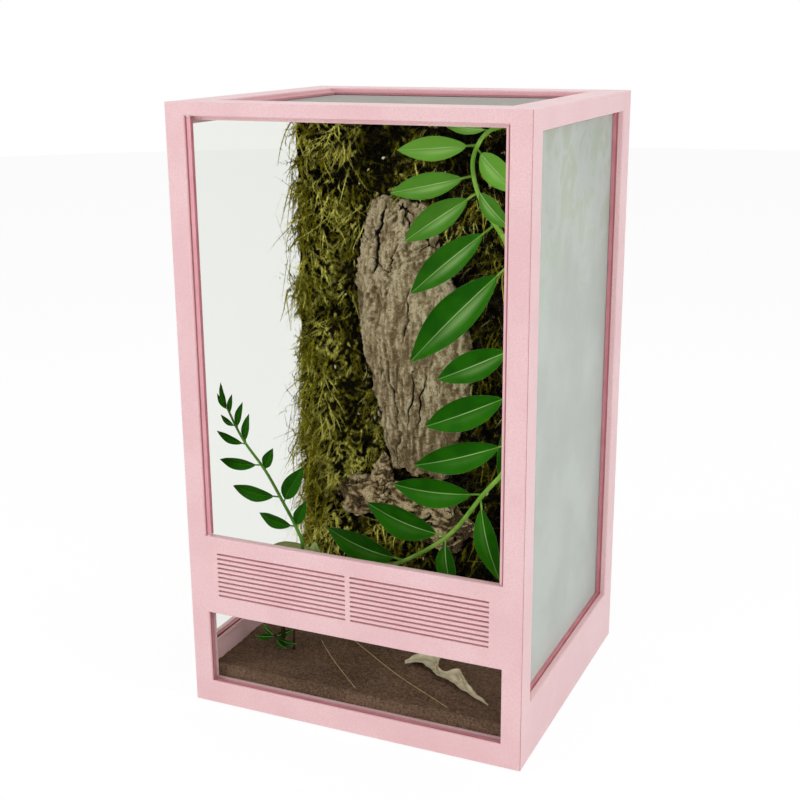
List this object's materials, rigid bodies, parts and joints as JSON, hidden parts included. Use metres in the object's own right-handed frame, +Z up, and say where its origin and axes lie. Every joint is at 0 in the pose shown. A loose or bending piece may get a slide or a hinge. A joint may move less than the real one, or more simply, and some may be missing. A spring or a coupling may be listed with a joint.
{
  "type": "planted glass terrarium",
  "caption": "Tall planted glass terrarium with a pink moulded frame, a swinging glass door, a louvred vent band, a low window and a lift-off mesh lid.",
  "frame": {"origin": "middle of the footprint, on the surface that the four feet stand on", "axes": "+Z up; the door and the vent band face -Y; the right-hand side pane faces +X"},
  "size_m": [0.35, 0.31, 0.6],
  "materials": {
    "pink_plastic": "satin moulded, finely grained",
    "pink_metal": "satin powder coat",
    "glass": "clear",
    "gasket": "matte, coloured to match the frame",
    "steel": "plain",
    "mesh": "fine woven wire",
    "nylon": "natural nylon",
    "magnet": "ferrite",
    "rubber": "matte",
    "soil": "loose coir fibre",
    "board": "pressed cork",
    "moss": "shaggy moss",
    "bark": "rough cork bark",
    "leaf": "glossy leaf",
    "pale_leaf": "matte leaf",
    "dry_leaf": "dry leaf and straw"
  },
  "bodies": {
    "case": {"front_frame": "pink_plastic", "left_frame": "pink_plastic", "right_frame": "pink_plastic", "back_frame": "pink_plastic", "top_rim": "pink_plastic", "base_frame": "pink_plastic", "low_window_bead": "pink_plastic", "left_bead": "pink_plastic", "right_bead": "pink_plastic", "back_bead": "pink_plastic", "vent_retainer": "pink_plastic", "low_window_pane": "glass", "left_pane": "glass", "right_pane": "glass", "back_pane": "glass", "floor_pane": "glass", "low_window_gasket": "gasket", "left_gasket": "gasket", "right_gasket": "gasket", "back_gasket": "gasket", "vent_screen": "mesh", "lower_bush": "nylon", "upper_bush": "nylon", "lower_magnet": "magnet", "upper_magnet": "magnet", "front_left_foot": "rubber", "front_right_foot": "rubber", "back_left_foot": "rubber", "back_right_foot": "rubber", "front_top_screw": "steel", "right_top_screw": "steel", "back_top_screw": "steel", "left_top_screw": "steel", "front_base_screw": "steel", "right_base_screw": "steel", "back_base_screw": "steel", "left_base_screw": "steel", "soil": "soil", "background_board": "board", "moss_panel": "moss", "cork_bark": "bark", "driftwood": "bark", "climber": "leaf", "door_sprig": "leaf", "ground_plant": "leaf", "pale_sprig": "pale_leaf", "dead_leaf": "dry_leaf", "dry_straw_left": "dry_leaf", "dry_straw_right": "dry_leaf"},
    "door": {"door_glass": "glass", "door_hinge_stile": "pink_metal", "door_edge_strip": "pink_metal", "lower_pin": "steel", "upper_pin": "steel"},
    "screen_lid": {"lid_frame": "pink_plastic", "lid_mesh": "mesh", "lid_spline": "rubber"}
  },
  "joints": [
    {"name": "door_hinge", "type": "hinge", "parent": "case", "child": "door", "pos_m": [-0.1523, -0.1505, 0.385], "axis": [0, 0, -1], "range_deg": [0, 95]},
    {"name": "lid_lift", "type": "slide", "parent": "case", "child": "screen_lid", "axis": [0, 0, 1], "range_m": [0, 0.04]}
  ]
}
